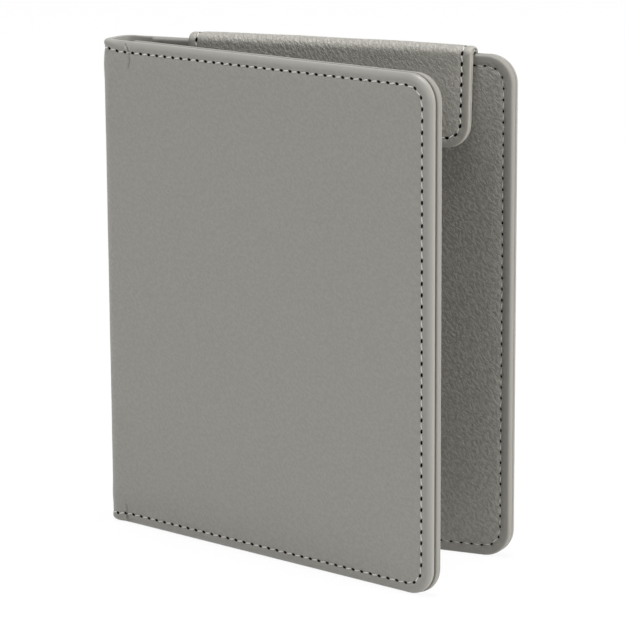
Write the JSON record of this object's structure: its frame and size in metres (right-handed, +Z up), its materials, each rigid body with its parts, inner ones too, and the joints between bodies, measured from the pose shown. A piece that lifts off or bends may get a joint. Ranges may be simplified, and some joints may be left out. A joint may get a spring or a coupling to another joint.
{
  "type": "notepad holder",
  "caption": "Stitched leatherette notepad holder with a round soft spine, padded covers and a magnetic flap over the head of the back cover.",
  "frame": {"origin": "under the middle of the holder's box, on the plane that its lower edges stand on", "axes": "+X along the back cover from the spine to its outer edge, +Y out of the back cover's outside, +Z up"},
  "size_m": [0.142, 0.0553, 0.1689],
  "materials": {
    "outer_leather": "smooth matt leatherette with a faint fine grain",
    "lining_leather": "matt leatherette with a clear fine grain",
    "thread": "twisted polyester sewing thread",
    "board": "grey pressed board",
    "foam": "soft white foam sheet",
    "steel": "plain plated steel"
  },
  "bodies": {
    "back_cover": {"back_outer_skin": "outer_leather", "back_outer_board": "board", "back_filler": "foam", "back_steel_plate": "steel", "back_inner_board": "board", "back_inner_panel": "lining_leather", "back_outer_stitching": "thread", "back_inner_stitching": "thread", "back_panel_edge_stitching": "thread", "flap_root": "outer_leather"},
    "spine": {"spine_skin": "outer_leather", "spine_foam": "foam", "spine_lining": "lining_leather", "back_crease_skin": "outer_leather", "back_crease_foam": "foam", "back_crease_lining": "lining_leather", "front_crease_skin": "outer_leather", "front_crease_foam": "foam", "front_crease_lining": "lining_leather"},
    "front_cover": {"front_outer_skin": "outer_leather", "front_outer_board": "board", "front_filler": "foam", "front_inner_board": "board", "front_inner_panel": "lining_leather", "front_outer_stitching": "thread", "front_inner_stitching": "thread", "front_panel_edge_stitching": "thread"},
    "flap": {"flap_outer_skin": "outer_leather", "flap_lining": "lining_leather", "flap_filler": "foam", "flap_magnet": "steel", "flap_outer_stitching": "thread", "flap_inner_stitching": "thread", "flap_arch_skin": "outer_leather", "flap_arch_lining": "lining_leather"}
  },
  "joints": [
    {"name": "back_cover_fold", "type": "hinge", "parent": "back_cover", "child": "spine", "pos_m": [-0.06703, 0.02477, 0], "axis": [0, 0, -1], "range_deg": [-8.5, 81.5], "deforming": ["back_crease_skin", "back_crease_foam", "back_crease_lining"]},
    {"name": "front_cover_fold", "type": "hinge", "parent": "spine", "child": "front_cover", "pos_m": [-0.06849, 0.01498, 0], "axis": [0, 0, -1], "range_deg": [-8.5, 81.5], "deforming": ["front_crease_skin", "front_crease_foam", "front_crease_lining"]},
    {"name": "flap_lift", "type": "hinge", "parent": "back_cover", "child": "flap", "pos_m": [0, 0.02245, 0.1651], "axis": [-1, 0, 0], "range_deg": [0, 180], "deforming": ["flap_arch_skin", "flap_arch_lining", "flap_outer_skin", "flap_lining", "flap_filler", "flap_outer_stitching", "flap_inner_stitching"]}
  ]
}
